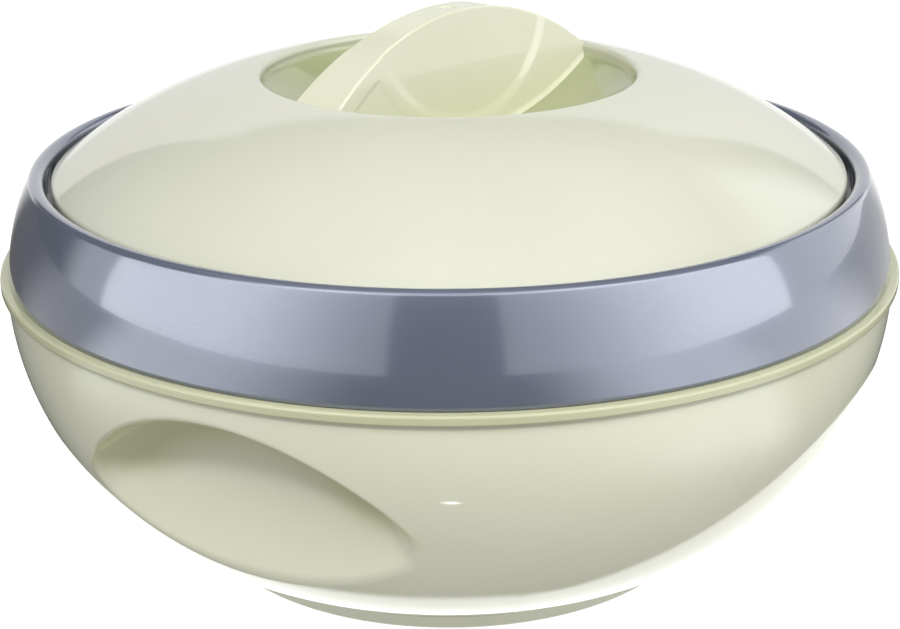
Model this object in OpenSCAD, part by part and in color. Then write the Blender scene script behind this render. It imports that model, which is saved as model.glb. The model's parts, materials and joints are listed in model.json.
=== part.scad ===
// Round insulated serving pot: a moulded outer bowl with two finger recesses, a collar that
// clamps a steel liner in foam, and a domed lid that drops into the collar. The lid has a
// sunken round dish, and an arched fin across the dish is the grip to lift it by.
// Millimetres, +Z up. The origin is on the table, under the middle of the foot ring, and the
// finger recesses face -Y and +Y.

/* [Outer bowl] */
// Diameter of the flange round the bowl's mouth
flange_d = 300; // [290:1:315]
// Height of the flange's top above the table
bowl_h = 102; // [98:0.5:108]
// Height of the flange's edge
flange_t = 4; // [2.5:0.1:6]
// How far the flange stands out from the bowl's side
flange_lip = 1.9; // [1.2:0.1:3]
// How far the flat floor cuts off the round of the bowl's side
floor_cut = 4.5; // [2:0.1:9]
// Wall of the moulded bowl
bowl_wall = 2.6; // [2:0.1:3.2]
// Diameter of the foot ring
foot_d = 170; // [164:1:178]
// Width of the foot ring's resting face
foot_w = 8; // [5:0.5:11]
// Height of the bowl's floor above the table
foot_h = 3; // [2:0.1:3.8]

/* [Finger recess] */
// Depth of the recess's flat back wall, from the bowl's widest side
recess_depth = 24.4; // [17:0.2:25]
// Radius of the recess's arched roof
recess_r = 67; // [56:0.5:70]
// Height of the plain band between the flange and the roof's top
recess_drop = 8.2; // [7:0.2:14]
// Round between the roof and the back wall
recess_round = 12; // [4:0.5:14]

/* [Collar] */
// Height of the collar's top above the flange
collar_h = 30.8; // [29:0.2:34]
// Radius of the collar's bulging side
collar_curve = 75; // [68:1:90]
// Set-back of the collar's foot from the bowl's side
collar_set = 1.1; // [0.6:0.1:1.8]
// Wall of the moulded collar
collar_wall = 2.4; // [2:0.1:3]
// Width of the collar's rounded rim
rim_w = 5.6; // [5.2:0.1:6.4]
// Depth of the lid's seat below the rim
ledge_drop = 16.8; // [16:0.2:18]
// Width of the lid's seat
ledge_w = 16; // [15:0.5:20]
// Height of the shadow groove between flange and collar
groove_h = 0.8; // [0.5:0.1:1.4]
// Depth of the spigot that locates the collar in the bowl
spigot_h = 6.5; // [4:0.5:8]

/* [Steel liner] */
// Radius of the liner's side
liner_curve = 76; // [70:1:79]
// Height of the liner's floor above the table
liner_floor = 22; // [18:0.5:26]
// Thickness of the steel sheet
steel_t = 0.8; // [0.6:0.1:1.2]
// Width of the liner's rim
liner_rim = 10; // [8:0.5:11]
// Thickness of the ring that seals the liner's rim
seal_t = 1.4; // [1:0.1:2]

/* [Lid] */
// Clear gap between the lid's edge and the collar
lid_gap = 2; // [1.4:0.1:2.6]
// How far the lid's edge lies below the collar's top
lid_drop = 2.2; // [1.2:0.1:3]
// Radius of the dome
dome_curve = 148; // [125:1:190]
// Round of the lid's edge
edge_round = 2.2; // [1.5:0.1:3]
// Wall of the lid's shell
lid_wall = 2.6; // [2:0.1:3]
// Wall of the lid's inner cover
cover_wall = 2.2; // [1.8:0.1:2.6]
// Clear gap between the liner and the step under the lid that enters it
step_gap = 6; // [5.5:0.5:12]
// Depth of that step below the cover's rim
step_h = 4.5; // [3:0.1:5]

/* [Grip] */
// Diameter of the sunken dish
dish_d = 123.4; // [114:0.2:130]
// Height of the dish's rim above the collar's top
dish_rise = 29.2; // [27:0.2:31]
// Depth of the dish
dish_depth = 20.5; // [18:0.5:22]
// Height of the steep wall under the dish's rim
dish_wall = 4.4; // [3:0.1:6]
// Round of the dish's rim
dish_round = 1.4; // [1:0.1:2]
// Round between the dish's wall and its floor
dish_fillet = 3; // [2:0.1:4]
// Height of the fin above the dish's rim
fin_rise = 20.4; // [18:0.2:23]
// Depth of the fin's ends below the dish's rim
fin_sink = 0.6; // [0.4:0.1:1]
// Width of the fin's crown at its top
fin_w = 13.3; // [12:0.1:15]
// Lean of the fin's faces, in degrees
fin_draft = 7.4; // [6:0.2:9]
// Turn of the fin from the line through the finger recesses, in degrees
fin_turn = -13; // [-90:1:90]
// Radius of the thumb dent in each face
dent_r = 41.6; // [36:0.2:44]
// Height of the dent's middle above the fin's top
dent_up = 7.5; // [5:0.5:10]
// Depth of the thumb dent
dent_t = 0.6; // [0.4:0.1:1]
// Width of the slope round the dent
dent_slope = 3.2; // [2.6:0.1:5]
// Width of the raised border along the fin's arch
border_w = 4.6; // [3.5:0.1:6]
// Height of that border
border_t = 0.3; // [0.2:0.1:0.6]

/* [Fits] */
// Clearance between curved pieces that are seated in each other
fit_gap = 0.3; // [0.2:0.05:0.4]
// Clearance under the lid's seal when the lid is down
seat_gap = 0.2; // [0.1:0.05:0.3]

/* [Hidden] */
$fn = 160;
bowl_colour = [0.78, 0.79, 0.66];
lid_colour = [0.85, 0.86, 0.77];
collar_colour = [0.46, 0.5, 0.6];
steel_colour = [0.78, 0.79, 0.8];
foam_colour = [0.93, 0.88, 0.7];
rubber_colour = [0.9, 0.9, 0.88];

// Bowl
bowl_r = flange_d / 2 - flange_lip;
bowl_level = bowl_h - flange_t;
bowl_curve = bowl_level - foot_h + floor_cut;
foot_r = foot_d / 2;
side_z = bowl_level - sqrt(pow(bowl_curve, 2) - pow(foot_r - bowl_r + bowl_curve, 2));
foot_top = max(side_z, foot_h) + 1;
plug_r = 14;
plug_gap = 0.2;
plug_head = 1.4;
plug_hold = 1.5;

// Finger recess
recess_reach = bowl_r - recess_depth;
recess_top = bowl_level - recess_drop;
recess_run = 2 * recess_depth + flange_lip;

// Collar
collar_top = bowl_h + collar_h;
collar_r = bowl_r - collar_set;
collar_level = bowl_h - 5;
collar_foot = bowl_h + groove_h;
groove_d = 0.8;
collar_c = [collar_r - sqrt(pow(collar_curve, 2) - pow(collar_foot - collar_level, 2)), collar_level];
rim_z = collar_top - rim_w / 2;
rim_c = [collar_c.x + sqrt(pow(collar_curve - rim_w / 2, 2) - pow(rim_z - collar_level, 2)), rim_z];
rim_tangent = collar_c + (rim_c - collar_c) * collar_curve / (collar_curve - rim_w / 2);
collar_in_r = rim_c.x - rim_w / 2;
spigot_r = bowl_r - bowl_wall - fit_gap;
ledge_z = collar_top - ledge_drop;
ledge_bottom = ledge_z - collar_wall;

// Liner
mouth_r = collar_in_r - ledge_w;
liner_r = mouth_r - 0.6;
liner_level = liner_floor + liner_curve;
liner_top = ledge_bottom - seal_t;
roll_r = 1.4;

// Lid
lid_r = collar_in_r - lid_gap;
lid_edge = [lid_r, collar_top - lid_drop];
skirt_z = ledge_z + 2;
dish_r = dish_d / 2;
dish_z = collar_top + dish_rise;
dish_rim = [dish_r, dish_z];
dome_c = arc_centre(lid_edge, dish_rim, dome_curve);
dish_curve = arch_radius(dish_r, dish_depth - dish_wall);
dish_c = [0, dish_z + dish_curve - dish_depth];
edge_c = [lid_r - edge_round, level_on(dome_c, dome_curve - edge_round, lid_r - edge_round)];
lip_c = [dish_r + dish_round, level_on(dome_c, dome_curve - dish_round, dish_r + dish_round)];
nook_r = dish_r - dish_fillet;
nook_c = [nook_r, 2 * dish_c.y - level_on(dish_c, dish_curve - dish_fillet, nook_r)];
cover_r = lid_r - lid_wall - fit_gap;
cover_z = ledge_z + 2.8;
cover_top = cover_z + cover_wall;
step_r = liner_r - step_gap;
step_z = cover_z - step_h;
lid_plug_r = 11;

// Grip
apex_z = dish_z + fin_rise;
fin_curve = arch_radius(dish_r, fin_rise + fin_sink);
fin_c = apex_z - fin_curve;
far = 200;

// Centre, on the lower side, of the circle of radius r through the points p and q
function arc_centre(p, q, r) =
    let (d = q - p, half = norm(d) / 2, down = [-d.y, d.x] / norm(d))
    (p + q) / 2 + down * sqrt(r * r - half * half);

// Height of the upper half of a circle at the radius x
function level_on(c, r, x) = c.y + sqrt(r * r - pow(x - c.x, 2));

// Radius of an arch from its half span and its rise
function arch_radius(half, rise) = (half * half + rise * rise) / (2 * rise);

// Point of a circle on the line from its centre through p
function on_circle(c, r, p) = c + (p - c) * r / norm(p - c);

// Rectangle of a turned profile, from its radii and heights
module band(r0, r1, z0, z1) {
    translate([r0, z0])
        square([r1 - r0, z1 - z0]);
}

module disc(c, r) {
    translate(c)
        circle(r);
}

// The same rectangle with its two outer corners rounded
module soft_band(r0, r1, z0, z1, round) {
    band(r0, r1 - round, z0, z1);
    band(r0, r1, z0 + round, z1 - round);
    disc([r1 - round, z0 + round], round);
    disc([r1 - round, z1 - round], round);
}

// Half section of a basin: a flat floor, a side of one curve and a straight mouth
module basin(r, curve, level, bottom, top) {
    intersection() {
        union() {
            disc([r - curve, level], curve);
            band(0, r - curve, level - curve, level);
            band(0, r, level, top);
        }
        band(0, r, bottom, top);
    }
}

module bowl_section(inset, top) {
    basin(bowl_r - inset, bowl_curve - inset, bowl_level, foot_h + inset, top);
}

module liner_section(outset, top) {
    basin(liner_r + outset, liner_curve + outset, liner_level, liner_floor - outset, top);
}

// The two spaces milled from the sides for the fingers, grown by a wall or a clearance
module recesses(grow = 0) {
    round = recess_round + grow;
    r = recess_r + grow;
    for (side = [0, 180])
        rotate([0, 0, side])
            translate([0, grow - recess_reach, recess_top - recess_r])
                rotate([90, 0, 0])
                    rotate_extrude() {
                        band(0, r - round, 0, round);
                        band(0, r, round, recess_run);
                        disc([r - round, round], round);
                    }
}

// Outer bowl with its flange, foot ring and finger recesses
module outer_bowl() {
    color(bowl_colour)
        difference() {
            rotate_extrude() {
                bowl_section(0, bowl_h);
                band(foot_r - foot_w, foot_r, 0, foot_top);
                soft_band(bowl_r - bowl_wall, flange_d / 2, bowl_level, bowl_h, 1);
            }
            recesses();
            difference() {
                rotate_extrude()
                    bowl_section(bowl_wall, bowl_h + 1);
                recesses(bowl_wall);
            }
            cylinder(r = plug_r, h = foot_h + bowl_wall + 1);
        }
}

// Plug pressed into a filling hole: a flat head below the wall and a shank through it
module filling_plug(r, wall) {
    translate([0, 0, -plug_head])
        cylinder(r = r + 4, h = plug_head);
    cylinder(r = r - plug_gap, h = wall + plug_hold);
}

module base_plug() {
    color(bowl_colour)
        translate([0, 0, foot_h])
            filling_plug(plug_r, bowl_wall);
}

// Foam between the bowl and the liner
module bowl_insulation() {
    skin = bowl_wall + fit_gap;
    under_spigot = bowl_h - spigot_h - fit_gap;
    under_rim = liner_top - 2 * roll_r - fit_gap;
    color(foam_colour)
        difference() {
            rotate_extrude()
                difference() {
                    union() {
                        bowl_section(skin, under_spigot);
                        band(0, spigot_r - collar_wall - fit_gap, bowl_level - 10, under_rim);
                    }
                    liner_section(steel_t + fit_gap, bowl_h + collar_h);
                }
            recesses(skin);
            cylinder(r = plug_r + fit_gap, h = foot_h + bowl_wall + plug_hold + fit_gap);
        }
}

// Pressed steel basin with a flat rim rolled under at its edge
module inner_liner() {
    color(steel_colour)
        rotate_extrude() {
            difference() {
                liner_section(steel_t, liner_top);
                liner_section(0, liner_top + 1);
            }
            band(liner_r, liner_r + liner_rim, liner_top - steel_t, liner_top);
            disc([liner_r + liner_rim, liner_top - roll_r], roll_r);
        }
}

// Flat ring between the liner's rim and the collar
module liner_seal() {
    color(rubber_colour)
        rotate_extrude()
            band(mouth_r + 1, liner_r + liner_rim - 1, liner_top, ledge_bottom);
}

// Collar: bulging side, rounded rim, lid seat inside, and a spigot down into the bowl
module collar() {
    color(collar_colour)
        rotate_extrude() {
            intersection() {
                difference() {
                    disc(collar_c, collar_curve);
                    disc(collar_c, collar_curve - collar_wall);
                }
                band(collar_in_r, collar_r, collar_foot, rim_tangent.y);
            }
            disc(rim_c, rim_w / 2);
            band(collar_in_r, collar_in_r + collar_wall, ledge_bottom, rim_z);
            band(mouth_r, collar_in_r + collar_wall, ledge_bottom, ledge_z);
            band(spigot_r - collar_wall, collar_r - groove_d, bowl_h, collar_foot + 1);
            band(spigot_r - collar_wall, spigot_r, bowl_h - spigot_h, collar_foot + 1);
        }
}

// Half section of the space under the dome and beside the dish, inset by a wall
module lid_section(inset, bottom) {
    difference() {
        intersection() {
            disc(dome_c, dome_curve - inset);
            band(0, lid_r - inset, bottom, dish_z + 10);
        }
        intersection() {
            disc(dish_c, dish_curve + inset);
            band(0, dish_r + inset, 0, dish_z + 20);
        }
    }
}

// The same space with the lid's edge, the dish's rim and the foot of the dish's wall rounded
module lid_outline() {
    edge_top = on_circle(dome_c, dome_curve, edge_c);
    lip_out = on_circle(dome_c, dome_curve, lip_c);
    nook_low = on_circle(dish_c, dish_curve, nook_c);
    difference() {
        lid_section(0, skirt_z);
        polygon([edge_c, [lid_r, edge_c.y], lid_edge + [1, 1], edge_top]);
        polygon([lip_c, lip_out, dish_rim + [-1, 1], [dish_r - 1, lip_c.y]]);
    }
    disc(edge_c, edge_round);
    disc(lip_c, dish_round);
    difference() {
        polygon([nook_c, nook_low, [dish_r + 1, dish_z - dish_wall - 1], [dish_r + 1, nook_c.y]]);
        disc(nook_c, dish_fillet);
    }
}

// Space on the inner side of one leaning face; half_w is half the width at the fin's top
module inside_face(half_w, lean) {
    translate([0, half_w, apex_z])
        rotate([lean, 0, 0])
            translate([-far, -2 * far, -far])
                cube(2 * far);
}

// Fin under an arch: both faces lean, and it is cut off round at the dish's rim
module fin_block(half_w, lean, curve, reach) {
    intersection() {
        translate([0, 0, fin_c])
            rotate([90, 0, 0])
                cylinder(r = curve, h = far, center = true);
        inside_face(half_w, lean);
        mirror([0, 1, 0])
            inside_face(half_w, lean);
        translate([0, 0, dish_z - dish_depth - 8])
            cylinder(r = reach, h = far);
    }
}

// Round space of one thumb dent, square to the leaning face and widening outwards
module dent_cone(grow) {
    rise = 6 * dent_t;
    translate([0, fin_w / 2, apex_z])
        rotate([fin_draft, 0, 0])
            translate([0, -dent_t, dent_up])
                rotate([-90, 0, 0])
                    cylinder(r1 = dent_r + grow, r2 = dent_r + grow + 6 * dent_slope, h = rise);
}

// What is cut from one face: the thumb dent, and the panel inside the raised border
module face_cut() {
    dent_cone(0);
    difference() {
        translate([0, 0, fin_c])
            rotate([-90, 0, 0])
                cylinder(r = fin_curve - border_w, h = far);
        inside_face(fin_w / 2 - border_t, fin_draft);
        dent_cone(dent_slope);
    }
}

// Grip fin with a dent and a border on each face and a small round mark at its top
module fin() {
    difference() {
        fin_block(fin_w / 2, fin_draft, fin_curve, dish_r + 1);
        face_cut();
        mirror([0, 1, 0])
            face_cut();
        translate([0, 0, apex_z - 0.5])
            cylinder(r = 2.5, h = 2);
    }
}

// Lid shell: dome, dish and fin in one moulding, the fin cored out from below
module lid_shell() {
    color(lid_colour)
        rotate([0, 0, 90 + fin_turn])
            difference() {
                union() {
                    rotate_extrude()
                        lid_outline();
                    fin();
                }
                rotate_extrude()
                    lid_section(lid_wall, skirt_z - 1);
                fin_block(fin_w / 2 - dent_t - lid_wall, fin_draft, fin_curve - lid_wall, dish_r - 4);
            }
}

// Foam inside the lid
module lid_insulation() {
    plug_top = step_z + cover_wall + plug_hold + fit_gap;
    color(foam_colour)
        difference() {
            rotate_extrude() {
                intersection() {
                    lid_section(lid_wall + fit_gap, cover_top + fit_gap);
                    band(0, cover_r - cover_wall - fit_gap, skirt_z, dish_z);
                }
                band(0, step_r - cover_wall - fit_gap, step_z + cover_wall + fit_gap, cover_top + 1);
            }
            cylinder(r = lid_plug_r + fit_gap, h = plug_top);
        }
}

// Inner cover that closes the lid from below, with a step down into the liner
module lid_cover() {
    color(lid_colour)
        difference() {
            rotate_extrude() {
                band(step_r - cover_wall, cover_r, cover_z, cover_top);
                band(cover_r - cover_wall, cover_r, cover_z, cover_top + 5);
                band(step_r - cover_wall, step_r, step_z, cover_top);
                band(0, step_r, step_z, step_z + cover_wall);
            }
            translate([0, 0, step_z - 1])
                cylinder(r = lid_plug_r, h = cover_wall + 2);
        }
}

// Soft ring under the cover's rim that rests on the collar's ledge
module lid_seal() {
    color(rubber_colour)
        rotate_extrude()
            band(mouth_r, cover_r - 1.5, ledge_z + seat_gap, cover_z);
}

module lid_plug() {
    color(lid_colour)
        translate([0, 0, step_z])
            filling_plug(lid_plug_r, cover_wall);
}

outer_bowl();
base_plug();
bowl_insulation();
inner_liner();
liner_seal();
collar();
lid_shell();
lid_insulation();
lid_cover();
lid_seal();
lid_plug();
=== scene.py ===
# %% [markdown]
# # A round insulated serving pot
# The pot is three mouldings that you see (bowl, collar, lid) round a steel liner, foam and seals that you
# don't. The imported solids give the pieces, the heights and the motion. This lesson dresses them: it turns
# smooth skins in the solids' place, mixes the finishes, and lights the pot like a catalogue picture. Each
# step prints what it made.

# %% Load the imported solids
import json
import math
import bmesh
import bpy
import numpy as np
from mathutils import Matrix, Vector

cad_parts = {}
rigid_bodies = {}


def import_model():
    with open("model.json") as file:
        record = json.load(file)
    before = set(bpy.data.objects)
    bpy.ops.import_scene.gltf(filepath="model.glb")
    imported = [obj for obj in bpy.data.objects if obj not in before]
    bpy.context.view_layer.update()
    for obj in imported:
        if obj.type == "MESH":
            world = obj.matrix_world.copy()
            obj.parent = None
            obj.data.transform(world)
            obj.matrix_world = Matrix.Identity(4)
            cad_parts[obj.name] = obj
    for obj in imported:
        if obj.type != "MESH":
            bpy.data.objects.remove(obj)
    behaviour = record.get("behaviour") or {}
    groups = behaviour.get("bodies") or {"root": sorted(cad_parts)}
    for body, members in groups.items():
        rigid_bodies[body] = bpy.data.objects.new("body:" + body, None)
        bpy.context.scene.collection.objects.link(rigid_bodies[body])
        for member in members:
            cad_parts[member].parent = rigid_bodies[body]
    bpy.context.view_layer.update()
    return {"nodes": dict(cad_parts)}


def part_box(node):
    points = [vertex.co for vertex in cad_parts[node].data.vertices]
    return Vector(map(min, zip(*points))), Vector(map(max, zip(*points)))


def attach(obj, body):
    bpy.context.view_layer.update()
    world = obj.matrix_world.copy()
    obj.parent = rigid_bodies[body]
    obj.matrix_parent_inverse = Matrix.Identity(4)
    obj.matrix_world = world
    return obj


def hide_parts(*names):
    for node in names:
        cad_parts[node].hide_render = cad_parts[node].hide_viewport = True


for leftover in list(bpy.data.objects):
    bpy.data.objects.remove(leftover)
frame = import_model()
MM = 0.001
print("solids:", sorted(frame["nodes"]))

# %% [markdown]
# ## Camera
# The picture was taken from about 0.7 m away with a long lens that looks down by about 20 degrees, so the
# rings of the pot are flat ovals. The camera's place was worked out from those ovals: it looks at the pot's
# axis, 28 degrees round from the finger recess. A lens is a focal length on a sensor 36 mm wide; in pixels
# it is 1988 on a picture 900 wide.

# %% The photographer's camera
PHOTO_TURN, LOOK_DOWN, ROLL = math.radians(28), math.radians(20.18), math.radians(0.38)
CAMERA_BACK, CAMERA_UP = 644.4, 312.1
SENSOR, PICTURE_WIDE, LENS_PIXELS = 36, 900, 1988
camera_data = bpy.data.cameras.new("photo_camera")
camera_data.sensor_width = SENSOR
camera_data.lens = LENS_PIXELS / PICTURE_WIDE * SENSOR
camera = bpy.data.objects.new("photo_camera", camera_data)
camera.matrix_world = (
    Matrix.Rotation(PHOTO_TURN, 4, "Z")
    @ Matrix.Translation((0, -CAMERA_BACK * MM, CAMERA_UP * MM))
    @ Matrix.Rotation(math.pi / 2 - LOOK_DOWN, 4, "X")
    @ Matrix.Rotation(-ROLL, 4, "Z")
)
bpy.context.scene.collection.objects.link(camera)
bpy.context.scene.camera = camera
bpy.context.scene.view_settings.view_transform = "Standard"
print("camera at", [round(v, 3) for v in camera.location], "lens", round(camera_data.lens, 1))

# %% [markdown]
# ## Turned skins
# Nearly every piece of a pot is round, so it can be drawn as half a section and turned about the upright
# axis, as on a lathe. Blender's spin does exactly that. A real moulding has no knife edges: each corner of
# the section is eased by a small arc, because that thin curve is what catches the light.

# %% Sections and the lathe
def arc(centre, radius, start, end, steps):
    """Points of a circle in the (radius, height) plane between two angles in degrees."""
    turn = np.radians(np.linspace(start, end, steps + 1))
    return [(centre[0] + radius * math.cos(t), centre[1] + radius * math.sin(t)) for t in turn]


def lean_to(centre, point):
    """Angle in degrees from a circle's centre to a point."""
    return math.degrees(math.atan2(point[1] - centre[1], point[0] - centre[0]))


def eased(corners, steps=5):
    """A section whose corners (r, z, round) are replaced by small arcs; round may be left out."""
    section = []
    for k, corner in enumerate(corners):
        here = Vector(corner[:2])
        ease = corner[2] if len(corner) > 2 else 0
        if not ease:
            section.append(tuple(here))
            continue
        before = (Vector(corners[k - 1][:2]) - here).normalized()
        after = (Vector(corners[(k + 1) % len(corners)][:2]) - here).normalized()
        half = before.angle(after) / 2
        middle = here + (before + after).normalized() * ease / math.sin(half)
        first = here + before * ease / math.tan(half) - middle
        last = here + after * ease / math.tan(half) - middle
        for i in range(steps + 1):
            way = first.lerp(last, i / steps).normalized()
            section.append(tuple(middle + way * ease))
    return section


def piece_from(name, bm):
    """A smooth object from a bmesh, with the big faces setting the shading at each soft edge."""
    bmesh.ops.remove_doubles(bm, verts=bm.verts, dist=0.002 * MM)
    bmesh.ops.recalc_face_normals(bm, faces=bm.faces)
    for face in bm.faces:
        face.smooth = True
    mesh = bpy.data.meshes.new(name)
    bm.to_mesh(mesh)
    bm.free()
    piece = bpy.data.objects.new(name, mesh)
    bpy.context.scene.collection.objects.link(piece)
    soft = piece.modifiers.new("large faces lead", "WEIGHTED_NORMAL")
    soft.mode = "FACE_AREA"
    soft.weight = 90
    return piece


def turned(name, section, closed=False, steps=300):
    """Turn a section, in millimetres, about the pot's axis."""
    bm = bmesh.new()
    points = [bm.verts.new((r * MM, 0, z * MM)) for r, z in section]
    pairs = list(zip(points, points[1:])) + ([(points[-1], points[0])] if closed else [])
    edges = [bm.edges.new(pair) for pair in pairs]
    bmesh.ops.spin(bm, geom=points + edges, cent=(0, 0, 0), axis=(0, 0, 1), angle=math.tau, steps=steps,
                   use_merge=True)
    piece = piece_from(name, bm)
    print(name, "-", len(piece.data.polygons), "faces")
    return piece


# %% [markdown]
# ## Collar
# The collar is a ring moulded in a darker pearl plastic. Outside it bulges on a wide arc and ends in a
# round rim; inside, a ledge carries the lid's seal, and a spigot drops into the bowl. Its glossy side
# mirrors the studio, so its arcs are drawn as true arcs and not as a few straight steps. Its foot and the
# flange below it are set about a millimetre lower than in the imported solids, because the picture shows the
# seam there.

# %% Collar
BOWL_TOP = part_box("outer_bowl")[1].z / MM
COLLAR_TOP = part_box("collar")[1].z / MM
COLLAR_CENTRE, COLLAR_CURVE = (72.22, BOWL_TOP - 5), 75.0
RIM_ROUND = 2.8
RIM_CENTRE = (136.44, COLLAR_TOP - RIM_ROUND)
LEDGE, LEDGE_IN = COLLAR_TOP - 16.8, 117.64
LEDGE_LOW = LEDGE - 2.4
SHOULDER, SHOULDER_OUT = 136.0, 143.5
SPIGOT_IN, SPIGOT_OUT, SPIGOT_LOW = 142.8, 145.2, BOWL_TOP - 6.5
FLANGE_TOP, SEAM, SEAM_IN = BOWL_TOP - 1.2, 0.35, 146.4
rim_lean = lean_to(COLLAR_CENTRE, RIM_CENTRE)
foot_lean = math.degrees(math.asin((FLANGE_TOP + SEAM - COLLAR_CENTRE[1]) / COLLAR_CURVE))
collar = turned(
    "collar_skin",
    arc(COLLAR_CENTRE, COLLAR_CURVE, foot_lean, rim_lean, 26)
    + arc(RIM_CENTRE, RIM_ROUND, rim_lean, 180, 16)[1:]
    + eased([(RIM_CENTRE[0] - RIM_ROUND, LEDGE, 0.8), (LEDGE_IN, LEDGE, 0.7), (LEDGE_IN, LEDGE_LOW, 0.5),
             (SHOULDER, LEDGE_LOW, 0.5), (SHOULDER, LEDGE + 8, 0.5), (SHOULDER_OUT, BOWL_TOP + 4, 0.5),
             (SPIGOT_IN, SPIGOT_LOW, 0.4), (SPIGOT_OUT, SPIGOT_LOW, 0.4), (SPIGOT_OUT, FLANGE_TOP, 0.2),
             (SEAM_IN, FLANGE_TOP, 0.1), (SEAM_IN, FLANGE_TOP + SEAM)]),
    closed=True,
)

# %% [markdown]
# ## Outer bowl
# The bowl is a deep round basin on a foot ring, with a thin flange round its mouth. On two sides a space
# for the fingers is let in: an arched roof, a flat back wall, a soft round between them, and no floor,
# because the bowl's side runs in under it. A boolean cut would give ragged triangles beside the arch, and
# gloss shows each of them. So the skin is a net of quads with a window in it, and each window is filled by
# rays from its middle: a ray runs along the wall, round the fillet, out along the roof, over the eased edge
# and on to the window's frame.

# %% Bowl section
SIDE_MIDDLE, SIDE_LEVEL, SIDE_CURVE = 48.6, BOWL_TOP - 4, 99.5
SIDE_OUT = SIDE_MIDDLE + SIDE_CURVE - 0.02
FOOT, FOOT_IN, FOOT_STEP, UNDERSIDE, PLUG_HOLE = 85.0, 77.0, 1.2, 3.0, 14.0
FLANGE, FLANGE_LOW, MOUTH = 149.98, SIDE_LEVEL - 0.4, 145.5
foot_angle = -math.degrees(math.acos((FOOT + FOOT_STEP - SIDE_MIDDLE) / SIDE_CURVE))
side = arc((SIDE_MIDDLE, SIDE_LEVEL), SIDE_CURVE, foot_angle, -0.6, 46)
bowl_section = (
    eased([(PLUG_HOLE, UNDERSIDE), (FOOT_IN, UNDERSIDE, 0.8), (FOOT_IN, 0, 0.6), (FOOT, 0, 0.7),
           (FOOT, side[0][1] - 1.0, 0.9)])
    + side
    + eased([(SIDE_OUT, FLANGE_LOW, 0.3), (FLANGE, FLANGE_LOW, 0.8), (FLANGE, FLANGE_TOP, 0.8),
             (MOUTH, FLANGE_TOP, 0.3), (MOUTH, BOWL_TOP - 9)])
)
print("bowl section of", len(bowl_section), "points")


# %% Finger recess, one ray at a time
ROOF, ROOF_DROP, FILLET, WALL = 67.0, 8.2, 12.0, 123.7
ROOF_MIDDLE = SIDE_LEVEL - ROOF_DROP - ROOF
RAY_MIDDLE = 60.0
RIM_EASE, FADE_EASE = 2.0, 3.0
WALL_STEPS, FILLET_STEPS, EASE_STEPS, SKIN_STEPS = 9, 16, 8, 7
HALVINGS, PATH_POINTS = 40, 200
print("recess: roof radius", ROOF, "mm, wall", WALL, "mm from the middle plane")


def skin_depth(x, z):
    """Distance of the plain bowl's side from the middle plane, at x and z."""
    r = SIDE_MIDDLE + math.sqrt(max(SIDE_CURVE ** 2 - (SIDE_LEVEL - z) ** 2, 0))
    return math.sqrt(max(r * r - x * x, 0))


def fillet_share(x, z):
    """0 on the flat wall, 1 at the roof."""
    return min(max((math.hypot(x, z - ROOF_MIDDLE) - ROOF + FILLET) / FILLET, 0), 1)


def recess_depth(x, z):
    """Distance of the recess's wall and fillet from the middle plane."""
    return WALL + FILLET * (1 - math.sqrt(1 - fillet_share(x, z) ** 2))


def recess_ray(x_end, z_end):
    """Points (x, depth, z) from the recess's middle up to its window frame, without the frame's point."""
    reach = math.hypot(x_end, z_end - RAY_MIDDLE)
    way = (x_end / reach, (z_end - RAY_MIDDLE) / reach)

    def at(u):
        return way[0] * u, RAY_MIDDLE + way[1] * u

    lift = RAY_MIDDLE - ROOF_MIDDLE
    roof = -way[1] * lift + math.sqrt((way[1] * lift) ** 2 - lift ** 2 + ROOF ** 2)
    low, rim = 0.0, min(roof, reach)
    if skin_depth(*at(rim)) < recess_depth(*at(rim)):
        for _ in range(HALVINGS):
            mid = (low + rim) / 2
            low, rim = (mid, rim) if skin_depth(*at(mid)) > recess_depth(*at(mid)) else (low, mid)
    path = [(u, recess_depth(*at(u))) for u in rim * np.sin(np.linspace(0, math.pi / 2, PATH_POINTS))]
    path.append((rim, skin_depth(*at(rim))))
    path = np.array(path)
    run = np.concatenate([[0], np.cumsum(np.hypot(*np.diff(path, axis=0).T))])
    ease = FADE_EASE + (RIM_EASE - FADE_EASE) * fillet_share(*at(rim))
    stop = run[-1] - min(ease, 0.4 * run[-1])
    flat = min(np.interp(0.02, path[:, 1] - WALL, run), 0.7 * stop)
    on_wall = np.linspace(0, flat, WALL_STEPS + 1)[1:]
    on_fillet = np.linspace(flat, stop, FILLET_STEPS + 1)[1:]
    marks = np.concatenate([on_wall, on_fillet])
    inside = [(np.interp(m, run, path[:, 0]), np.interp(m, run, path[:, 1])) for m in marks]
    over = rim + min(ease, 0.4 * (reach - rim))
    corner, first, last = path[-1], np.array(inside[-1]), np.array((over, skin_depth(*at(over))))
    for k in range(1, EASE_STEPS + 1):
        t = k / EASE_STEPS
        inside.append(tuple((1 - t) ** 2 * first + 2 * t * (1 - t) * corner + t * t * last))
    points = [(at(u)[0], depth, at(u)[1]) for u, depth in inside]
    for k in range(1, SKIN_STEPS):
        x, z = at(over + (reach - over) * k / SKIN_STEPS)
        points.append((x, skin_depth(x, z), z))
    return points


# %% Bowl skin with its two windows
COLUMNS = 360
WINDOW_HALF, WINDOW_LOW, WINDOW_HIGH = 38, 17.0, 96.0
FRONT_COLUMN, BACK_COLUMN = 270, 90
net = bmesh.new()
column_turns = [math.tau * i / COLUMNS for i in range(COLUMNS)]
rows = [
    [net.verts.new((r * MM * math.cos(turn), r * MM * math.sin(turn), z * MM)) for turn in column_turns]
    for r, z in bowl_section
]
side_start = bowl_section.index(side[0])
window_low = next(k for k in range(side_start, len(rows)) if bowl_section[k][1] > WINDOW_LOW)
window_high = next(k for k in range(len(rows) - 1, 0, -1)
                   if bowl_section[k] in side and bowl_section[k][1] < WINDOW_HIGH)


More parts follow.
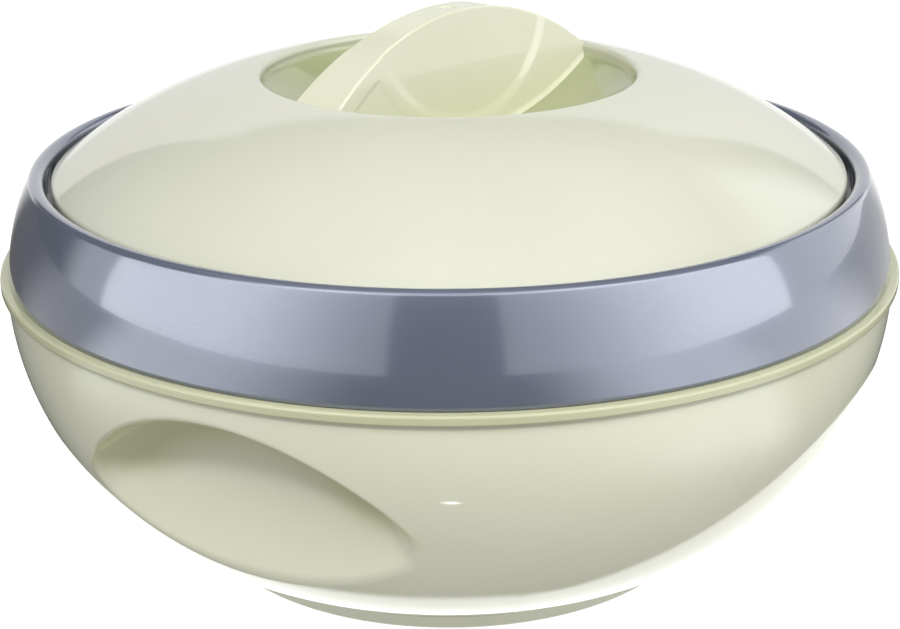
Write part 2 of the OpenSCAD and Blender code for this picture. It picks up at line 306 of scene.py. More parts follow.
def in_window(i, k):
    """True for a quad, at column i and row k, that a finger recess takes."""
    past_edge = min((i - c + WINDOW_HALF) % COLUMNS for c in (FRONT_COLUMN, BACK_COLUMN))
    return past_edge < 2 * WINDOW_HALF and window_low <= k < window_high


for k in range(len(rows) - 1):
    for i in range(COLUMNS):
        if not in_window(i, k):
            j = (i + 1) % COLUMNS
            net.faces.new((rows[k][i], rows[k][j], rows[k + 1][j], rows[k + 1][i]))

for middle_column, turn in ((FRONT_COLUMN, 1), (BACK_COLUMN, -1)):
    span = [(middle_column - WINDOW_HALF + i) % COLUMNS for i in range(2 * WINDOW_HALF + 1)]
    frame_verts = [rows[window_low][i] for i in span]
    frame_verts += [rows[k][span[-1]] for k in range(window_low + 1, window_high + 1)]
    frame_verts += [rows[window_high][i] for i in reversed(span[:-1])]
    frame_verts += [rows[k][span[0]] for k in range(window_high - 1, window_low, -1)]
    centre_vert = net.verts.new((0, -turn * WALL * MM, RAY_MIDDLE * MM))
    rays = []
    for vert in frame_verts:
        ray = recess_ray(vert.co.x / MM * turn, vert.co.z / MM)
        inner = [net.verts.new((x * turn * MM, -depth * turn * MM, z * MM)) for x, depth, z in ray]
        rays.append(inner + [vert])
    for one, two in zip(rays, rays[1:] + rays[:1]):
        net.faces.new((centre_vert, one[0], two[0]))
        for k in range(len(one) - 1):
            net.faces.new((one[k], one[k + 1], two[k + 1], two[k]))
bowl = piece_from("bowl_skin", net)
print("bowl skin -", len(bowl.data.polygons), "faces, windows from row", window_low, "to", window_high)

# %% [markdown]
# ## Lid
# The lid is a dome with a sunken round dish in its top. Its section is one chain of arcs: the dish's floor,
# the round at its foot, the rim's round, the dome, and the round at the lid's edge. The dome's arc is found
# from the two points it must pass, as a drawing gives it.

# %% Lid dome and dish
def arc_centre(p, q, radius):
    """Centre, on the lower side, of the circle through two points."""
    p, q = Vector(p), Vector(q)
    step = q - p
    half = step.length / 2
    return (p + q) / 2 + Vector((-step.y, step.x)).normalized() * math.sqrt(radius ** 2 - half ** 2)


def level_on(centre, radius, r):
    """Height of a circle's upper side at a distance r from the pot's axis."""
    return centre[1] + math.sqrt(radius ** 2 - (r - centre[0]) ** 2)


LID, LID_EDGE, LID_WALL = 131.64, COLLAR_TOP - 2.2, 2.6
DISH, DISH_RIM, DISH_DEEP, DISH_WALL = 61.7, COLLAR_TOP + 29.2, 20.5, 4.4
DOME_CURVE, EDGE_ROUND, LIP_ROUND, NOOK_ROUND = 148.0, 2.2, 2.0, 3.0
dome = arc_centre((LID, LID_EDGE), (DISH, DISH_RIM), DOME_CURVE)
dish_rise = DISH_DEEP - DISH_WALL
DISH_CURVE = (DISH ** 2 + dish_rise ** 2) / (2 * dish_rise)
dish = (0.0, DISH_RIM + DISH_CURVE - DISH_DEEP)
edge_middle = (LID - EDGE_ROUND, level_on(dome, DOME_CURVE - EDGE_ROUND, LID - EDGE_ROUND))
lip_middle = (DISH + LIP_ROUND, level_on(dome, DOME_CURVE - LIP_ROUND, DISH + LIP_ROUND))
nook_r = DISH - NOOK_ROUND
nook_middle = (nook_r, 2 * dish[1] - level_on(dish, DISH_CURVE - NOOK_ROUND, nook_r))
SKIRT, SKIRT_HIGH = LEDGE + 2, 9
lid_section = (
    arc(dish, DISH_CURVE, -90, lean_to(dish, nook_middle), 30)
    + arc(nook_middle, NOOK_ROUND, lean_to(dish, nook_middle), 0, 9)[1:]
    + arc(lip_middle, LIP_ROUND, 180, lean_to(dome, lip_middle), 9)
    + arc(dome, DOME_CURVE, lean_to(dome, lip_middle), lean_to(dome, edge_middle), 40)[1:]
    + arc(edge_middle, EDGE_ROUND, lean_to(dome, edge_middle), 0, 8)[1:]
    + eased([(LID, SKIRT, 0.7), (LID - LID_WALL, SKIRT, 0.7), (LID - LID_WALL, SKIRT + SKIRT_HIGH)])
)
lid_shell = turned("lid_skin", lid_section)
print("dome centre", [round(v, 1) for v in dome], "dish floor at", round(dish[1] - DISH_CURVE, 1))

# %% [markdown]
# ## Grip fin
# An arched fin stands across the dish: its faces lean together towards the crown, each has a round thumb
# dent, and at one end a low border follows the arch. It could be sculpted, but it has a plain rule: seen
# from the side it is a fan of rays from the arch's middle, so each ray becomes one column of points that
# runs over the crown and down both faces. The dent, the border and the flare at the dish's floor only shift
# those points sideways.

# %% Fin dimensions
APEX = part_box("lid_shell")[1].z / MM
ARCH_RISE = APEX - DISH_RIM + 0.6
ARCH = (DISH ** 2 + ARCH_RISE ** 2) / (2 * ARCH_RISE)
ARCH_MIDDLE = APEX - ARCH
CROWN, LEAN = 13.3 / 2, math.radians(7.4)
FIN_TURN = math.radians(77)
DENT, DENT_SLOPE, DENT_UP, DENT_DEEP = 41.6, 3.2, 7.5, 0.6
BORDER, BORDER_DEEP, BORDER_SLOPE, BORDER_FROM = 5.6, 0.35, 0.6, (47.6, 50.2)
CROWN_EASE, FLARE, ROOT = 0.8, 1.8, 1.6
GATE, GATE_SOFT, GATE_PIT, GATE_PIP, PIP_EDGE = 2.4, 0.3, 0.9, 0.4, (0.5, 1.1)
FIN_REACH, GATE_REACH = 62.6, 3.4
END_COLUMNS, GATE_COLUMNS, CROWN_STEPS, EDGE_STEPS, FACE_STEPS = 110, 21, 12, 6, 64
FEEL_STEP, LOWEST = 0.1, 40.0
print("fin: arch radius", round(ARCH, 1), "mm, crown", 2 * CROWN, "mm wide")


def smooth(low, high, value):
    """0 below low, 1 above high, and a soft S between them."""
    t = min(max((value - low) / (high - low), 0), 1)
    return t * t * (3 - 2 * t)


def ramp(low, high, value, ease):
    """A straight slope from 0 to 1 whose two ends are eased."""
    run = high - low
    return (math.hypot(value - low, ease) - math.hypot(value - high, ease) + run) / (2 * run)


def face_offset(s, z):
    """Half width of the fin at s along it and height z, with the dent and the border in it."""
    away = math.hypot(s, (APEX - z) / math.cos(LEAN) + DENT_UP)
    dent = DENT_DEEP * (1 - ramp(DENT, DENT + DENT_SLOPE, away, 0.35))
    below = ARCH - math.hypot(s, z - ARCH_MIDDLE)
    sunk = BORDER_DEEP * ramp(BORDER - BORDER_SLOPE, BORDER + BORDER_SLOPE, below, 0.2)
    border = sunk * smooth(*BORDER_FROM, away) * (s < 0)
    return CROWN + (APEX - z) * math.tan(LEAN) - max(dent, border) / math.cos(LEAN)


def dish_floor(s, t):
    """Height of the dish's floor at s along the fin and t across it."""
    return dish[1] - math.sqrt(DISH_CURVE ** 2 - min(s * s + t * t, DISH ** 2))


# %% Fin columns
def fin_column(angle):
    """Points (s, t, z) of half a column, from the middle of the crown down one face to the dish's floor."""
    def at(rho):
        return rho * math.sin(angle), ARCH_MIDDLE + rho * math.cos(angle)

    s_top, z_top = s_low, z_low = at(ARCH)
    rho_low = ARCH
    while z_low > dish_floor(s_low, face_offset(s_low, z_low)) - ROOT and rho_low > LOWEST:
        rho_low -= FEEL_STEP
        s_low, z_low = at(rho_low)
    ease_rho = ARCH - CROWN_EASE
    ease_t = face_offset(*at(ease_rho)) - CROWN_EASE / math.cos(LEAN)
    half = [(s_top, ease_t * k / CROWN_STEPS, z_top) for k in range(CROWN_STEPS + 1)]
    for k in range(1, EDGE_STEPS + 1):
        turn = math.pi / 2 - (math.pi / 2 - LEAN) * k / EDGE_STEPS
        s, z = at(ease_rho + CROWN_EASE * math.sin(turn))
        half.append((s, ease_t + CROWN_EASE * math.cos(turn), z))
    start = CROWN_EASE * (1 - math.sin(LEAN))
    near_border = [1.9, 2.6, 3.4, 4.2, 4.8, 5.1, 5.35, 5.6, 5.85, 6.1, 6.4, 7.0]
    total = ARCH - rho_low
    squeeze = min(1.0, total / 12.0)
    downs = [start + (m - start) * squeeze for m in near_border]
    downs += [downs[-1] + (total - downs[-1]) * k / FACE_STEPS for k in range(1, FACE_STEPS + 1)]
    for down in downs:
        s, z = at(ARCH - down)
        t = face_offset(s, z)
        above = z - dish_floor(s, t)
        if above < FLARE:
            t += FLARE - math.sqrt(max(FLARE ** 2 - (FLARE - max(above, 0)) ** 2, 0))
        half.append((s, t, z))
    return half


end, fine = math.asin(FIN_REACH / ARCH), math.asin(GATE_REACH / ARCH)
angles = np.concatenate([np.linspace(-end, -fine, END_COLUMNS)[:-1], np.linspace(-fine, fine, GATE_COLUMNS),
                         np.linspace(fine, end, END_COLUMNS)[1:]])
fin_net = bmesh.new()
columns = []
for angle in angles:
    half = fin_column(float(angle))
    whole = [(s, -t, z) for s, t, z in reversed(half)] + half[1:]
    column = []
    for s, t, z in whole:
        off_gate = math.hypot(s, t)
        if off_gate < GATE + GATE_SOFT and z > APEX - 1:
            z -= GATE_PIT * (1 - smooth(GATE - GATE_SOFT, GATE + GATE_SOFT, off_gate))
            z += GATE_PIP * (1 - smooth(*PIP_EDGE, off_gate))
        x = s * math.cos(FIN_TURN) - t * math.sin(FIN_TURN)
        y = s * math.sin(FIN_TURN) + t * math.cos(FIN_TURN)
        column.append(fin_net.verts.new((x * MM, y * MM, z * MM)))
    columns.append(column)
for one, two in zip(columns, columns[1:]):
    for k in range(len(one) - 1):
        fin_net.faces.new((one[k], two[k], two[k + 1], one[k + 1]))
fin = piece_from("fin_skin", fin_net)
print("grip fin -", len(fin.data.polygons), "faces")

# %% [markdown]
# ## Inside the pot
# Lift the lid and you see the pressed steel liner, the soft ring under the lid and the lid's inner cover.
# They are round too, so the same lathe turns them. The liner's rim is rolled under, as sheet steel has to
# be.

# %% Liner
LINER, LINER_CURVE, LINER_FLOOR, STEEL = 117.04, 76.0, 22.0, 0.8
LINER_SEAL, LINER_RIM, NECK, CURL = 1.4, 10.0, 4.0, 1.4
LINER_TOP = LEDGE_LOW - LINER_SEAL
liner_middle = (LINER - LINER_CURVE, LINER_FLOOR + LINER_CURVE)
inside_wall = arc(liner_middle, LINER_CURVE, -90, 0, 36)
outside_wall = arc(liner_middle, LINER_CURVE + STEEL, 0, -90, 36)
rim_edge = LINER + LINER_RIM
liner = turned(
    "liner_skin",
    [(0, LINER_FLOOR)] + inside_wall
    + eased([(LINER, LINER_TOP - NECK), (LINER, LINER_TOP, 0.9), (rim_edge, LINER_TOP)])
    + arc((rim_edge, LINER_TOP - CURL), CURL, 90, -150, 14)[1:]
    + eased([(rim_edge - 2, LINER_TOP - STEEL), (LINER + STEEL, LINER_TOP - STEEL, 0.3),
             (LINER + STEEL, LINER_TOP - NECK)])
    + outside_wall + [(0, LINER_FLOOR - STEEL)],
)

# %% Inner cover and lid seal
COVER, COVER_LEVEL, COVER_WALL, COVER_HIGH = 128.74, LEDGE + 2.8, 2.2, 7.2
STEP, STEP_LEVEL, LID_HOLE = 111.04, COVER_LEVEL - 4.5, 11.0
cover_in, step_in, brim = COVER - COVER_WALL, STEP - COVER_WALL, COVER_LEVEL + COVER_HIGH
inner_cover = turned(
    "inner_cover_skin",
    eased([(LID_HOLE, STEP_LEVEL + COVER_WALL, 0.2), (LID_HOLE, STEP_LEVEL, 0.3), (STEP, STEP_LEVEL, 1.6),
           (STEP, COVER_LEVEL, 0.8), (COVER, COVER_LEVEL, 0.6), (COVER, brim, 0.3), (cover_in, brim, 0.3),
           (cover_in, COVER_LEVEL + COVER_WALL, 0.4), (step_in, COVER_LEVEL + COVER_WALL, 0.4),
           (step_in, STEP_LEVEL + COVER_WALL, 0.4)]),
    closed=True,
)
SEAL_IN, SEAL_OUT, LIP_WIDE, LIP_SLOPE = 117.7, 127.2, 2.8, 0.7
LIP_LOW, GROOVE = LEDGE + 0.25, LEDGE + 1.2
inner_lip, outer_lip = SEAL_IN + LIP_WIDE, SEAL_OUT - LIP_WIDE
lid_seal = turned(
    "lid_seal_skin",
    eased([(SEAL_IN, COVER_LEVEL, 0.3), (SEAL_IN, LIP_LOW, 0.9), (inner_lip, LIP_LOW, 0.9),
           (inner_lip + LIP_SLOPE, GROOVE, 0.5), (outer_lip - LIP_SLOPE, GROOVE, 0.5),
           (outer_lip, LIP_LOW, 0.9), (SEAL_OUT, LIP_LOW, 0.9), (SEAL_OUT, COVER_LEVEL, 0.3)]),
    closed=True,
)

# %% [markdown]
# ## Finishes
# A finish is a small network of nodes. Writing them as sums reads better than wiring: a class wraps one
# socket, and plus, minus and times add the Math nodes. Colours go through Mix nodes, because a Math node
# would turn them grey.

# %% Shader sums
class Sum:
    """One number that varies over a surface, with the usual sums."""

    def __init__(self, finish, socket):
        self.finish, self.socket = finish, socket

    def _do(self, operation, first, second):
        return self.finish.node("ShaderNodeMath", {"operation": operation}, {0: first, 1: second})

    def __add__(self, other):
        return self._do("ADD", self, other)

    __radd__ = __add__

    def __sub__(self, other):
        return self._do("SUBTRACT", self, other)

    def __rsub__(self, other):
        return self._do("SUBTRACT", other, self)

    def __mul__(self, other):
        return self._do("MULTIPLY", self, other)

    __rmul__ = __mul__

    def __pow__(self, other):
        return self._do("POWER", self, other)


# %% Node trees
class Nodes:
    """A node tree with a short way to add nodes and sums to it."""

    def __init__(self, tree):
        self.tree = tree

    def node(self, kind, settings, inputs, output=0):
        made = self.tree.nodes.new(kind)
        for key, value in settings.items():
            setattr(made, key, value)
        for key, value in inputs.items():
            if isinstance(value, Sum):
                self.tree.links.new(value.socket, made.inputs[key])
            else:
                made.inputs[key].default_value = value
        return Sum(self, made.outputs[output])

    def step(self, value, low, high):
        """0 below low, 1 above high, and a soft S between them; low may be the larger one."""
        return self.node("ShaderNodeMapRange", {"interpolation_type": "SMOOTHSTEP"},
                         {"Value": value, "From Min": low, "From Max": high})

    def window(self, value, rise, fall):
        """1 between two soft edges; each edge is a pair, where it is 0 and where it is 1."""
        return self.step(value, *rise) * self.step(value, *fall)

    def blend(self, share, first, second):
        return self.node("ShaderNodeMix", {"data_type": "RGBA"}, {0: share, 6: first, 7: second}, 2)

    def unsigned(self, value):
        """A value without its sign."""
        return self.node("ShaderNodeMath", {"operation": "ABSOLUTE"}, {0: value})

    def along(self, place, axis):
        """How far a place lies along an axis."""
        return self.node("ShaderNodeVectorMath", {"operation": "DOT_PRODUCT"}, {0: place, 1: axis}, "Value")

    def bearing(self, right, front):
        """Degrees round from the photographer's side, positive to their right."""
        return self.node("ShaderNodeMath", {"operation": "ARCTAN2"}, {0: right, 1: front}) * (180 / math.pi)

    def rays(self):
        """Two switches: one for rays from the camera, one for rays that a gloss sends on."""
        camera_ray = self.node("ShaderNodeLightPath", {}, {}, "Is Camera Ray")
        return camera_ray, Sum(self, camera_ray.socket.node.outputs["Is Glossy Ray"])


# %% A finish with one shader
class Finish(Nodes):
    """A material with one Principled shader."""

    def __init__(self, name, **constants):
        self.material = bpy.data.materials.new(name)
        self.material.use_nodes = True
        super().__init__(self.material.node_tree)
        self.shader = self.tree.nodes["Principled BSDF"]
        for socket, value in constants.items():
            self.shader.inputs[socket.replace("_", " ")].default_value = value
        self.place = self.node("ShaderNodeTexCoord", {}, {}, "Object")

    def noise(self, per_metre, detail=3.0, rough=0.5, place=None):
        return self.node("ShaderNodeTexNoise", {"noise_dimensions": "3D"},
                         {"Vector": place or self.place, "Scale": per_metre, "Detail": detail,
                          "Roughness": rough})

    def ring(self):
        """Distance from the pot's axis."""
        flat = self.node("ShaderNodeVectorMath", {"operation": "MULTIPLY"}, {0: self.place, 1: (1, 1, 0)})
        return self.node("ShaderNodeVectorMath", {"operation": "LENGTH"}, {0: flat}, "Value")

    def level(self):
        """Height above the table."""
        return self.node("ShaderNodeSeparateXYZ", {}, {"Vector": self.place}, "Z")

    def bump(self, height, strength, distance):
        return self.node("ShaderNodeBump", {}, {"Height": height, "Strength": strength, "Distance": distance},
                         "Normal")

    def feed(self, **links):
        for socket, value in links.items():
            self.tree.links.new(value.socket, self.shader.inputs[socket.replace("_", " ")])
        return self.material


# %% [markdown]
# ### Pale green plastic
# The bowl and the lid are moulded in a pale green-cream plastic with a high gloss. Close up such a moulding
# isn't one colour: the melt leaves faint clouds, the polish has a fine orange-peel ripple, and handling
# leaves soft smears in the gloss. In hollows and at thin edges shade falls and light goes from green to
# green,
# and that is painted into the colour: the flange, a band under the recess's roof as a painted shadow, the
# dish and the fin's foot each get a darker, richer tone of painted shade. The lid's and the fin's own tones
# are also set darker than the bowl's, as painted shade, though all three are one plastic.

# %% Gloss plastic
def gloss_plastic(name, light, deep, painted_shades, smear=0.05):
    """Pale plastic: two cloud tones, and a darker tone of painted shade in each listed place."""
    finish = Finish(name, Specular_IOR_Level=0.5, IOR=1.5)
    clouds = finish.noise(14, 4, 0.55)
    specks = finish.step(finish.noise(900, 2, 0.6), 0.70, 0.78)
    colour = finish.blend(finish.step(clouds, 0.3, 0.7), light, deep)
    # Each listed place gets its darker tone as painted shade.
    for place, shade_tone in painted_shades:
        colour = finish.blend(place(finish), colour, shade_tone)
    colour = finish.blend(specks * 0.25, colour, tuple(0.72 * c for c in deep[:3]) + (1,))
    handled = finish.step(finish.noise(38, 5, 0.6), 0.42, 0.75)
    rough = handled * smear + 0.035 + finish.noise(1600, 2) * 0.02
    ripple = finish.noise(420, 2, 0.4)
    return finish.feed(Base_Color=colour, Roughness=rough, Normal=finish.bump(ripple, 0.04, 0.0004))


def flange_painted_shade(finish):
    """Painted shade: the flange outside the collar, set to a darker tone."""
    outside = finish.step(finish.ring(), SEAM_IN * MM, (SEAM_IN + 0.8) * MM)
    return outside * finish.step(finish.level(), (FLANGE_LOW - 0.8) * MM, FLANGE_LOW * MM)


def roof_painted_shadow(finish):
    """Painted shadow: a band just under each recess's roof, on the round and the wall below it."""
    across = finish.node("ShaderNodeVectorMath", {"operation": "MULTIPLY"}, {0: finish.place, 1: (1, 0, 1)})
    to_axis = finish.node("ShaderNodeVectorMath", {"operation": "DISTANCE"},
                          {0: across, 1: (0, 0, ROOF_MIDDLE * MM)}, "Value")
    depth = finish.unsigned(finish.node("ShaderNodeSeparateXYZ", {}, {"Vector": finish.place}, "Y"))
    corner = finish.window(to_axis, ((ROOF - 23) * MM, (ROOF - 11) * MM), ((ROOF + 1) * MM, ROOF * MM))
    inside = finish.window(depth, (110 * MM, 115 * MM), (147 * MM, 132 * MM))
    return corner * inside * finish.step(finish.level(), 53 * MM, 63 * MM)


def dish_painted_shade(finish):
    """Painted shade: the dish below its rim."""
    inside, level = finish.step(finish.ring(), (DISH + 1.8) * MM, (DISH - 1.2) * MM), finish.level()
    below_rim = finish.step(level, DISH_RIM * MM, (DISH_RIM - 5) * MM)
    return inside * below_rim * finish.step(level, COLLAR_TOP * MM, (COLLAR_TOP + 6) * MM)


def fin_foot_painted_shade(finish):
    """Painted shade: more and more towards the fin's foot."""
    return finish.step(finish.level(), (DISH_RIM + 4) * MM, (DISH_RIM - 16) * MM)


# Painted shade: the flange gets a darker tone, and a band under each recess's roof a darker tone as a painted
# shadow.
BOWL_GREEN = gloss_plastic("bowl_plastic", (0.655, 0.663, 0.52, 1), (0.63, 0.638, 0.495, 1),
                           ((flange_painted_shade, (0.46, 0.468, 0.31, 1)), (roof_painted_shadow, (0.53, 0.535, 0.345, 1))))
# Painted shade: the lid and the fin are one plastic with the bowl, but the lid's tones are set darker and the
# fin's between them; the lid's dish gets a darker tone still.
LID_GREEN = gloss_plastic("lid_plastic", (0.537, 0.543, 0.447, 1), (0.517, 0.524, 0.428, 1),
                          ((dish_painted_shade, (0.315, 0.336, 0.187, 1)),))
# Painted shade: the fin's tone grows darker towards its foot.
FIN_GREEN = gloss_plastic("fin_plastic", (0.605, 0.612, 0.475, 1), (0.585, 0.592, 0.455, 1),
                          ((fin_foot_painted_shade, (0.572, 0.584, 0.41, 1)),))
print("mixed", BOWL_GREEN.name, LID_GREEN.name, FIN_GREEN.name)

# %% [markdown]
# ### Pearl plastic
# The collar's plastic holds mica: tiny flakes that flash under a clear skin. A fine cell pattern gives each
# flake its own brightness and sheen, and the coat on top stays smooth.

# %% Pearl plastic
def pearl_plastic():
    finish = Finish("collar_plastic", Coat_Weight=1.0, Coat_Roughness=0.03, Coat_IOR=1.62,
                    Specular_IOR_Level=0.5)
    flakes = finish.node("ShaderNodeTexVoronoi", {"feature": "F1"},
                         {"Vector": finish.place, "Scale": 5200.0}, "Color")
    flash = finish.node("ShaderNodeSeparateColor", {}, {"Color": flakes}, "Red")
    clouds = finish.noise(18, 4, 0.6)
    colour = finish.blend(finish.step(clouds, 0.3, 0.7), (0.152, 0.172, 0.232, 1), (0.138, 0.157, 0.214, 1))
    colour = finish.blend(finish.step(flash, 0.55, 1.0) * 0.4, colour, (0.25, 0.275, 0.345, 1))
    rough = 0.15 - finish.step(flash, 0.6, 1.0) * 0.04 + clouds * 0.05
    metal = finish.step(flash, 0.5, 1.0) * 0.15 + 0.39
    return finish.feed(Base_Color=colour, Metallic=metal, Roughness=rough)


PEARL = pearl_plastic()
print("mixed", PEARL.name)

# %% [markdown]
# ### Steel, silicone and foam
# The liner is pressed from sheet and brushed in rings, so its fine lines run round the axis: a noise that
# depends on radius and height alone does it. The seals are soft milky silicone, matt with a little dust,
# and the foam is a pale cell pattern.

# %% Inner finishes
def brushed_steel():
    finish = Finish("liner_steel", Metallic=1.0)
    on_section = finish.node("ShaderNodeCombineXYZ", {}, {"X": finish.ring(), "Y": finish.level(), "Z": 0.0})
    lines = finish.noise(2200, 3, 0.7, on_section)
    smears = finish.noise(22, 4, 0.6)
    colour = finish.blend(finish.step(lines, 0.3, 0.7), (0.60, 0.605, 0.60, 1), (0.70, 0.705, 0.70, 1))
    return finish.feed(Base_Color=colour, Roughness=lines * 0.16 + smears * 0.12 + 0.12,
                       Normal=finish.bump(lines, 0.06, 0.0002))


def milky_silicone():
    finish = Finish("seal_rubber", Specular_IOR_Level=0.4)
    dust = finish.step(finish.noise(700, 3, 0.6), 0.55, 0.75)
    clouds = finish.noise(30, 3)
    colour = finish.blend(finish.step(clouds, 0.3, 0.7), (0.70, 0.70, 0.66, 1), (0.64, 0.64, 0.60, 1))
    colour = finish.blend(dust * 0.4, colour, (0.8, 0.8, 0.78, 1))
    return finish.feed(Base_Color=colour, Roughness=dust * 0.12 + 0.5, Normal=finish.bump(dust, 0.1, 0.0003))


def cell_foam():
    finish = Finish("foam", Specular_IOR_Level=0.2)
    cells = finish.node("ShaderNodeTexVoronoi", {"feature": "F1"},
                        {"Vector": finish.place, "Scale": 700.0}, "Distance")
    colour = finish.blend(finish.step(cells, 0.1, 0.7), (0.82, 0.74, 0.50, 1), (0.62, 0.54, 0.33, 1))
    return finish.feed(Base_Color=colour, Roughness=cells * 0.1 + 0.8, Normal=finish.bump(cells, 0.5, 0.0008))


STEEL_FINISH, SILICONE, FOAM = brushed_steel(), milky_silicone(), cell_foam()
print("mixed", STEEL_FINISH.name, SILICONE.name, FOAM.name)

# %% [markdown]
# ## Put it together
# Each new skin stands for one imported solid, the dome and the fin for one together, and rides on that
# solid's body, so the lid's pieces rise with the lid. The small pieces that are only plugs, rings and foam
# stay as the solids they are and only get their finish.

# %% Ride, replace and finish
DRESSING = (
    (collar, "pot", "collar_plastic", PEARL, "collar"),
    (bowl, "pot", "bowl_plastic", BOWL_GREEN, "outer_bowl"),
    (liner, "pot", "liner_steel", STEEL_FINISH, "inner_liner"),
    (lid_shell, "lid", "lid_plastic", LID_GREEN, "lid_shell"),
    (inner_cover, "lid", "lid_plastic", LID_GREEN, "lid_cover"),
    (lid_seal, "lid", "seal_rubber", SILICONE, "lid_seal"),
    (fin, "lid", "lid_plastic", FIN_GREEN, None),
)
for piece, body, slot, finish, node in DRESSING:
    piece.data.materials.append(finish)
    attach(piece, body)
    if node:
        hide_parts(node)
KEPT = {"base_plug": BOWL_GREEN, "lid_plug": LID_GREEN, "liner_seal": SILICONE, "bowl_insulation": FOAM,
        "lid_insulation": FOAM}
for node, finish in KEPT.items():
    for place in frame["nodes"][node].material_slots:
        place.material = finish
print("skins:", len(DRESSING), "kept solids:", len(KEPT))

# %% [markdown]
# ## Studio
# A catalogue picture has a white table that runs off into white, a bright wall behind, and a tall soft
# panel on each side of the camera. Panels can be lights or glowing planes, but then they stand in the way
# of a camera on the other side. Here they are painted, on the table by place and on the world by direction,
# and the rays are told apart: the camera sees only white ground, the gloss mirrors a picture of the studio,
# and all other rays meet a soft light. So the reflections and the shading can be set one at a time.

# %% Table
TABLE_HALF = 6.0
TO_FRONT = (math.sin(PHOTO_TURN), -math.cos(PHOTO_TURN), 0)
TO_RIGHT = (math.cos(PHOTO_TURN), math.sin(PHOTO_TURN), 0)
table = bmesh.new()
bmesh.ops.create_grid(table, x_segments=8, y_segments=8, size=TABLE_HALF)
table_mesh = bpy.data.meshes.new("table")
table.to_mesh(table_mesh)
table.free()
floor = bpy.data.objects.new("table", table_mesh)
bpy.context.scene.collection.objects.link(floor)
paper = Finish("pale_table", Specular_IOR_Level=0.1)
grain = paper.noise(240, 3)
paper.feed(Base_Color=paper.blend(grain, (0.30, 0.30, 0.295, 1), (0.34, 0.34, 0.335, 1)),
           Roughness=grain * 0.1 + 0.75)
floor.data.materials.append(paper.material)
print("table", round(floor.dimensions.x, 1), "m wide")

# %% [markdown]
# ### Light from the table
# The bowl leans out over the table, so most of what its gloss mirrors lies there. A table that is white all
# over would give the bowl one flat sheen. So the gloss finds a white patch round the foot, a glow on each
# side, paler ground far off and one small spark. Each is a mask by place, and their sum goes out as
# emission.

# %% What the gloss finds on the table
from_pot = paper.ring()
to_front, to_right = paper.along(paper.place, TO_FRONT), paper.along(paper.place, TO_RIGHT)
table_turn = paper.bearing(to_right, to_front)


def oval(right, front, wide, deep):
    """1 on an oval's edge, less inside it; the middle and the half widths are in metres."""
    return ((to_right - right) * (1 / wide)) ** 2 + ((to_front - front) * (1 / deep)) ** 2


patch = paper.step(oval(0.025, -0.06, 0.18, 0.162), 1.04, 0.97)
white = patch + (1 - patch) * paper.step(from_pot, 0.112, 0.105)
rear = paper.step(paper.unsigned(table_turn), 138, 150)
right_glow = paper.window(table_turn, (13, 48), (78, 62)) * paper.step(from_pot, 0.17, 0.24) * 2.0
left_glow = paper.window(table_turn, (-15, -58), (-92, -78)) * paper.step(from_pot, 0.2, 0.36) * 1.7
far_off = paper.step(from_pot, 0.33, 0.42)
right_strength = 0.45 + 0.9 * paper.step(table_turn, 120, 98)
right_far = far_off * paper.window(table_turn, (62, 78), (150, 138)) * right_strength
left_far = far_off * paper.window(table_turn, (-78, -92), (-125, -105)) * 0.45
spark = paper.step(oval(0.0, 0.196, 0.006, 0.0013), 1.3, 0.7) * 16
beside_white = (right_glow + left_glow + right_far + left_far + rear) * (1 - white)
table_mirror = 0.12 + white * 1.7 + beside_white + spark
table_soft = 0.6 + 0.3 * paper.step(from_pot, 0.085, 0.12) - 0.4 * paper.step(from_pot, 0.17, 0.25)
camera_ray, gloss_ray = paper.rays()
lamp = table_mirror * gloss_ray + table_soft * (1 - gloss_ray)
lit = paper.node("ShaderNodeEmission", {}, {"Color": lamp, "Strength": 1.0})
glow = paper.node("ShaderNodeEmission", {}, {"Color": (1, 1, 1, 1), "Strength": 0.92})
pale = paper.node("ShaderNodeAddShader", {}, {0: Sum(paper, paper.shader.outputs[0]), 1: glow})
surface = paper.node("ShaderNodeMixShader", {}, {0: camera_ray, 1: lit, 2: pale})
paper.tree.links.new(surface.socket, paper.tree.nodes["Material Output"].inputs["Surface"])
print("table painted: a white patch, a glow on each side, a spark")

# %% [markdown]
# ### Light from the room
# The glossy collar shows the two panels as pale patches with the dark of the room between them. Each panel
# is a window between two bearings and two heights, and the sides and the wall behind are made in the same
# way. The soft light is the ceiling, a share of the panels, and a strong key above the camera that the
# gloss doesn't mirror.

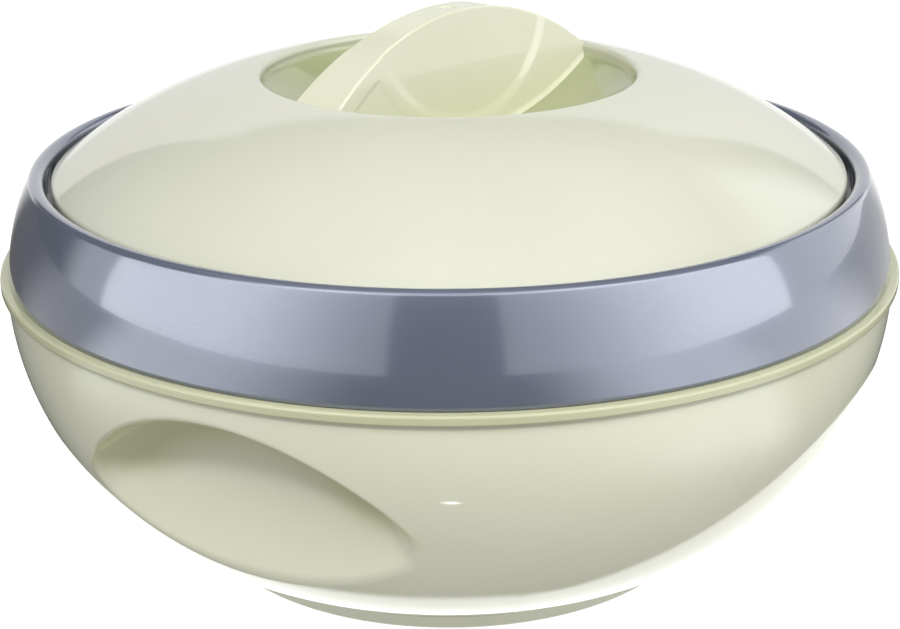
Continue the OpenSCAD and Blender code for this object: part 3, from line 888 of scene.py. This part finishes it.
# %% Room light by direction
world = bpy.data.worlds.new("studio")
world.use_nodes = True
bpy.context.scene.world = world
room = Nodes(world.node_tree)
looking = room.node("ShaderNodeTexCoord", {}, {}, "Generated")
forward, upward = room.along(looking, TO_FRONT), room.along(looking, (0, 0, 1))
room_turn = room.bearing(room.along(looking, TO_RIGHT), forward)
height = room.node("ShaderNodeMath", {"operation": "ARCSINE"}, {0: upward}) * (180 / math.pi)


def panel(left, right, low, top, soft=1.5, fade=10):
    """A window of light between two bearings and two heights, in degrees; top may vary with the bearing."""
    across = room.window(room_turn, (left - soft, left + soft), (right + soft, right - soft))
    return across * room.step(height, low - soft, low + soft) * room.step(height - top, fade, -fade)


left_top = 66 - 40 * room.step(room_turn, -45, -90)
right_top = 64 - 20 * room.step(room_turn, 50, 90)
left_panel = panel(-95, -15, -8, left_top) * (0.85 + 2.0 * room.step(room_turn, -15, -62))
right_panel = panel(13, 92, -14, right_top) * (0.85 + 2.25 * room.step(room_turn, 13, 72))
left_side = room.window(room_turn, (-116, -104), (-94, -97)) * room.step(height, 24, 15)
right_side = room.window(room_turn, (91, 94), (148, 138)) * room.step(height, 44, 34) * 1.3
off_front = room.unsigned(room_turn)
wall_top = 11 + 23 * room.step(off_front, 145, 157)
backdrop = room.step(off_front, 138, 144) * room.step(height - wall_top, 2, -2) * 0.8
ceiling = room.step(height, 40, 60) * (0.25 + 1.55 * room.step(forward, -0.1, 0.4))
key = panel(-60, 86, 42, 48, 3, 3) * 16.5
DARK, WHITE = 0.08, 1.05
room_mirror = DARK + ceiling + backdrop + left_side + right_side + left_panel + right_panel
room_soft = DARK + ceiling * 0.82 + key + left_panel * 0.3 + right_panel * 0.5
camera_ray, gloss_ray = room.rays()
light = room_mirror * gloss_ray + room_soft * (1 - gloss_ray)
seen_light = light * (1 - camera_ray) + camera_ray * WHITE
sky = room.tree.nodes["Background"]
room.tree.links.new(seen_light.socket, sky.inputs["Color"])
sky.inputs["Strength"].default_value = 1.0
print("room: a panel on each side, a wall behind, a soft ceiling, a key light above the camera")
